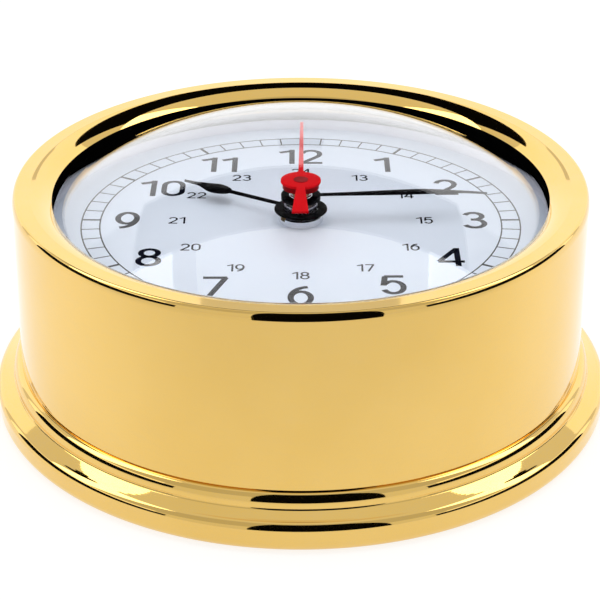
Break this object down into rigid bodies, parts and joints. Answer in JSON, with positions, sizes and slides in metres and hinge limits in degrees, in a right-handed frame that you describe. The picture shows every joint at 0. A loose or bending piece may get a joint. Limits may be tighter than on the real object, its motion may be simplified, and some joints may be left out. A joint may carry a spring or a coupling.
{
  "type": "marine clock",
  "caption": "Round marine clock: polished brass drum with a domed glass on a moulded base ring, 24-hour dial, three hands and a battery movement with its train.",
  "frame": {"origin": "middle of the base ring's underside", "axes": "+Z out of the dial, +Y towards twelve o'clock, +X towards three o'clock"},
  "size_m": [0.1204, 0.1204, 0.0544],
  "materials": {
    "case_brass": "polished to a mirror and lacquered",
    "plain_brass": "turned, unpolished",
    "dial_white": "smooth satin enamel with a black print",
    "liner_white": "smooth satin",
    "clear_glass": "polished, clear",
    "hand_black": "high gloss lacquer",
    "hand_red": "satin lacquer with bright cut edges",
    "silver_trim": "bright",
    "spring_steel": "plain, lightly brushed",
    "copper_wire": "enamelled copper wire",
    "black_plastic": "moulded, fine grain",
    "gear_plastic": "natural ivory, moulded",
    "black_rubber": "matt",
    "board_green": "solder mask",
    "magnet_grey": "ground ferrite",
    "cell_wrap": "printed film wrap left plain"
  },
  "bodies": {
    "base": {"mounting_base": "case_brass", "base_seal": "black_rubber"},
    "clock_head": {"case_shell": "case_brass", "domed_glass": "clear_glass", "glass_gasket": "black_rubber", "dial_liner": "liner_white", "dial_plate": "dial_white", "retaining_ring": "plain_brass", "movement_housing": "black_plastic", "rear_cover": "black_plastic", "train_bridge": "gear_plastic", "threaded_bush": "plain_brass", "rubber_washer": "black_rubber", "clamp_nut": "silver_trim", "stator": "spring_steel", "coil_core": "spring_steel", "coil_bobbin": "gear_plastic", "coil_winding": "copper_wire", "circuit_board": "board_green", "control_chip": "black_plastic", "crystal_can": "spring_steel", "battery_cell": "cell_wrap", "positive_contact": "spring_steel", "negative_contact": "spring_steel"},
    "second_hand_arbor": {"seconds_wheel": "gear_plastic", "second_hand": "hand_red"},
    "rotor_arbor": {"rotor": "magnet_grey"},
    "transfer_arbor": {"transfer_wheel": "gear_plastic"},
    "third_arbor": {"third_wheel": "gear_plastic"},
    "minute_rim": {"minute_wheel": "gear_plastic"},
    "minute_hand_pipe": {"cannon_pinion": "plain_brass", "minute_hand": "hand_black", "minute_collar": "silver_trim"},
    "motion_arbor": {"motion_wheel": "gear_plastic"},
    "hour_hand_pipe": {"hour_wheel": "gear_plastic", "hour_hand": "hand_black", "hour_collar": "silver_trim"},
    "setting_shaft": {"setting_knob": "gear_plastic"}
  },
  "joints": [
    {"name": "case_lift", "type": "slide", "parent": "base", "child": "clock_head", "axis": [0, 0, 1], "range_m": [0, 0.02]},
    {"name": "second_hand_turn", "type": "hinge", "parent": "clock_head", "child": "second_hand_arbor", "pos_m": [0, 0, 0.03], "axis": [0, 0, -1], "continuous": true},
    {"name": "rotor_turn", "type": "hinge", "parent": "clock_head", "child": "rotor_arbor", "pos_m": [0.011, 0.00797, 0.03], "axis": [0, 0, -1], "continuous": true},
    {"name": "transfer_turn", "type": "hinge", "parent": "clock_head", "child": "transfer_arbor", "pos_m": [0.0046, 0.00797, 0.03], "axis": [0, 0, -1], "continuous": true},
    {"name": "third_turn", "type": "hinge", "parent": "clock_head", "child": "third_arbor", "pos_m": [-0.00779, 0.0045, 0.03], "axis": [0, 0, -1], "continuous": true},
    {"name": "minute_wheel_turn", "type": "hinge", "parent": "clock_head", "child": "minute_rim", "pos_m": [0, 0, 0.03], "axis": [0, 0, -1], "continuous": true},
    {"name": "minute_hand_turn", "type": "hinge", "parent": "clock_head", "child": "minute_hand_pipe", "pos_m": [0, 0, 0.03], "axis": [0, 0, -1], "continuous": true},
    {"name": "motion_turn", "type": "hinge", "parent": "clock_head", "child": "motion_arbor", "pos_m": [-0.00886, -0.00156, 0.03], "axis": [0, 0, -1], "continuous": true},
    {"name": "hour_hand_turn", "type": "hinge", "parent": "clock_head", "child": "hour_hand_pipe", "pos_m": [0, 0, 0.03], "axis": [0, 0, -1], "continuous": true},
    {"name": "setting_knob_turn", "type": "hinge", "parent": "clock_head", "child": "setting_shaft", "pos_m": [-0.01838, -0.00503, 0.03], "axis": [0, 0, -1], "continuous": true}
  ],
  "couplings": [
    {"joint": "transfer_turn", "follows": "second_hand_turn", "ratio": -5},
    {"joint": "rotor_turn", "follows": "second_hand_turn", "ratio": 30},
    {"joint": "third_turn", "follows": "second_hand_turn", "ratio": -0.13333},
    {"joint": "minute_wheel_turn", "follows": "second_hand_turn", "ratio": 0.016667},
    {"joint": "motion_turn", "follows": "minute_hand_turn", "ratio": -0.33333},
    {"joint": "hour_hand_turn", "follows": "minute_hand_turn", "ratio": 0.083333},
    {"joint": "setting_knob_turn", "follows": "minute_hand_turn", "ratio": 0.66667}
  ]
}
